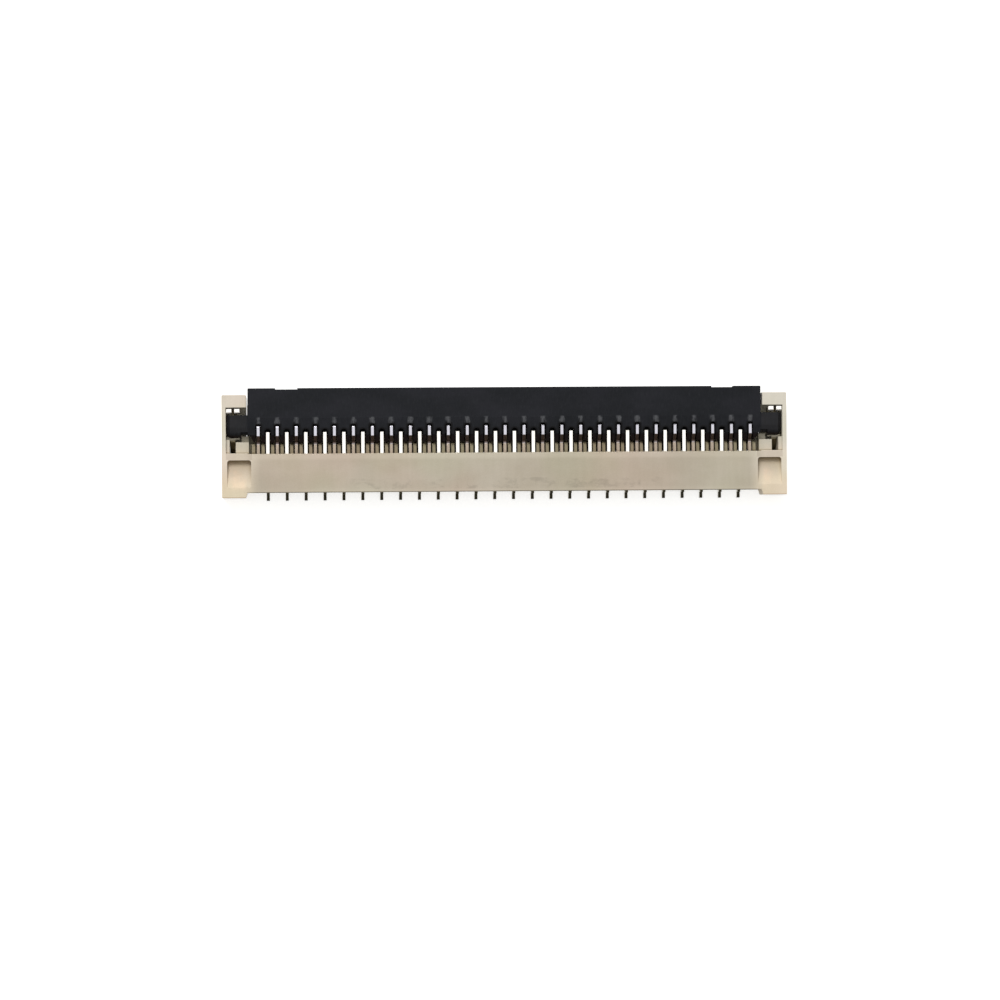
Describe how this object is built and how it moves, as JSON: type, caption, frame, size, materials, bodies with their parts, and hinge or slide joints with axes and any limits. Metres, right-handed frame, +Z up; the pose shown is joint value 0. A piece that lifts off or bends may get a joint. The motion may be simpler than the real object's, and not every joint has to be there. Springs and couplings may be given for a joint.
{
  "type": "flat cable connector",
  "caption": "Low-profile surface-mount connector for a flat flexible cable, with a back-flip actuator and staggered fine-pitch contacts.",
  "frame": {"origin": "middle of the footprint, on the solder plane under the tails and fittings", "axes": "+X along the row of contacts, +Y from the cable entry to the actuator's free edge, +Z up from the circuit board"},
  "size_m": [0.0178, 0.0036, 0.001],
  "materials": {
    "housing_lcp": "moulded liquid-crystal polymer, beige, fine flow marks",
    "actuator_lcp": "moulded liquid-crystal polymer, black, satin",
    "contact_tin": "stamped phosphor bronze, tin plated, bright",
    "fitting_tin": "stamped and bent copper alloy, tin plated, bright"
  },
  "bodies": {
    "base": {"housing": "housing_lcp", "fitting_left": "fitting_tin", "fitting_right": "fitting_tin", "contact_01": "contact_tin", "contact_02": "contact_tin", "contact_03": "contact_tin", "contact_04": "contact_tin", "contact_05": "contact_tin", "contact_06": "contact_tin", "contact_07": "contact_tin", "contact_08": "contact_tin", "contact_09": "contact_tin", "contact_10": "contact_tin", "contact_11": "contact_tin", "contact_12": "contact_tin", "contact_13": "contact_tin", "contact_14": "contact_tin", "contact_15": "contact_tin", "contact_16": "contact_tin", "contact_17": "contact_tin", "contact_18": "contact_tin", "contact_19": "contact_tin", "contact_20": "contact_tin", "contact_21": "contact_tin", "contact_22": "contact_tin", "contact_23": "contact_tin", "contact_24": "contact_tin", "contact_25": "contact_tin", "contact_26": "contact_tin", "contact_27": "contact_tin", "contact_28": "contact_tin", "contact_29": "contact_tin", "contact_30": "contact_tin", "contact_31": "contact_tin", "contact_32": "contact_tin", "contact_33": "contact_tin", "contact_34": "contact_tin", "contact_35": "contact_tin", "contact_36": "contact_tin", "contact_37": "contact_tin", "contact_38": "contact_tin", "contact_39": "contact_tin", "contact_40": "contact_tin", "contact_41": "contact_tin", "contact_42": "contact_tin", "contact_43": "contact_tin", "contact_44": "contact_tin", "contact_45": "contact_tin", "contact_46": "contact_tin", "contact_47": "contact_tin", "contact_48": "contact_tin", "contact_49": "contact_tin", "contact_50": "contact_tin", "contact_51": "contact_tin", "contact_52": "contact_tin", "contact_53": "contact_tin"},
    "actuator": {"actuator": "actuator_lcp"}
  },
  "joints": [
    {"name": "actuator_hinge", "type": "hinge", "parent": "base", "child": "actuator", "pos_m": [0, 0.0004, 0.00074], "axis": [1, 0, 0], "range_deg": [0, 90]}
  ]
}
